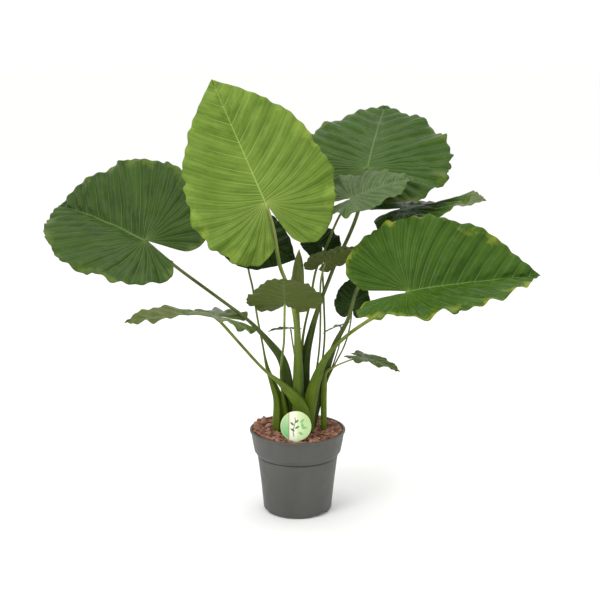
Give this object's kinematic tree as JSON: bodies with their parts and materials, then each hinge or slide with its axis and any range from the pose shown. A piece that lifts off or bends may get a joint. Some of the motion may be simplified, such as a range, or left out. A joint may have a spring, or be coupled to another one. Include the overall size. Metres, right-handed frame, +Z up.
{
  "type": "potted alocasia",
  "caption": "Large-leaved potted alocasia: heart-shaped, ruffled leaves on long sheathed stems in a round plastic nursery pot with bark mix and a plain care card.",
  "frame": {"origin": "centre of the pot's flat underside", "axes": "+Z up, -Y towards the plant's front, +X to the right as seen from the front, along the longest spread of leaves"},
  "size_m": [1.2047, 0.7836, 1.0761],
  "materials": {
    "pot_plastic": "moulded recycled polypropylene, satin, fine grain",
    "potting_mix": "damp bark and coir chips, rough",
    "corm_bark": "fibrous corm skin",
    "leaf_stem": "smooth waxy green stem",
    "leaf_blade": "waxy ribbed leaf, satin",
    "label_card": "printed plastic card, satin"
  },
  "bodies": {
    "root": {"pot": "pot_plastic", "young_rolled_leaf_blade": "leaf_blade", "young_rolled_leaf_stem": "leaf_stem", "mid_right_leaf_blade": "leaf_blade", "mid_right_leaf_stem": "leaf_stem", "inner_leaf_blade": "leaf_blade", "inner_leaf_stem": "leaf_stem", "folded_leaf_blade": "leaf_blade", "folded_leaf_stem": "leaf_stem", "front_leaf_blade": "leaf_blade", "front_leaf_stem": "leaf_stem", "back_right_leaf_blade": "leaf_blade", "back_right_leaf_stem": "leaf_stem", "right_tilted_leaf_blade": "leaf_blade", "right_tilted_leaf_stem": "leaf_stem", "low_centre_leaf_blade": "leaf_blade", "low_centre_leaf_stem": "leaf_stem", "right_front_leaf_blade": "leaf_blade", "right_front_leaf_stem": "leaf_stem", "left_leaf_blade": "leaf_blade", "left_leaf_stem": "leaf_stem", "low_left_leaf_blade": "leaf_blade", "low_left_leaf_stem": "leaf_stem", "hanging_leaf_blade": "leaf_blade", "hanging_leaf_stem": "leaf_stem", "small_right_leaf_blade": "leaf_blade", "small_right_leaf_stem": "leaf_stem", "tiny_back_leaf_blade": "leaf_blade", "tiny_back_leaf_stem": "leaf_stem", "low_right_leaf_blade": "leaf_blade", "low_right_leaf_stem": "leaf_stem", "small_back_leaf_blade": "leaf_blade", "small_back_leaf_stem": "leaf_stem", "main_corm": "corm_bark", "left_offset_corm": "corm_bark", "right_offset_corm": "corm_bark", "care_label": "label_card", "potting_mix": "potting_mix"}
  },
  "joints": []
}
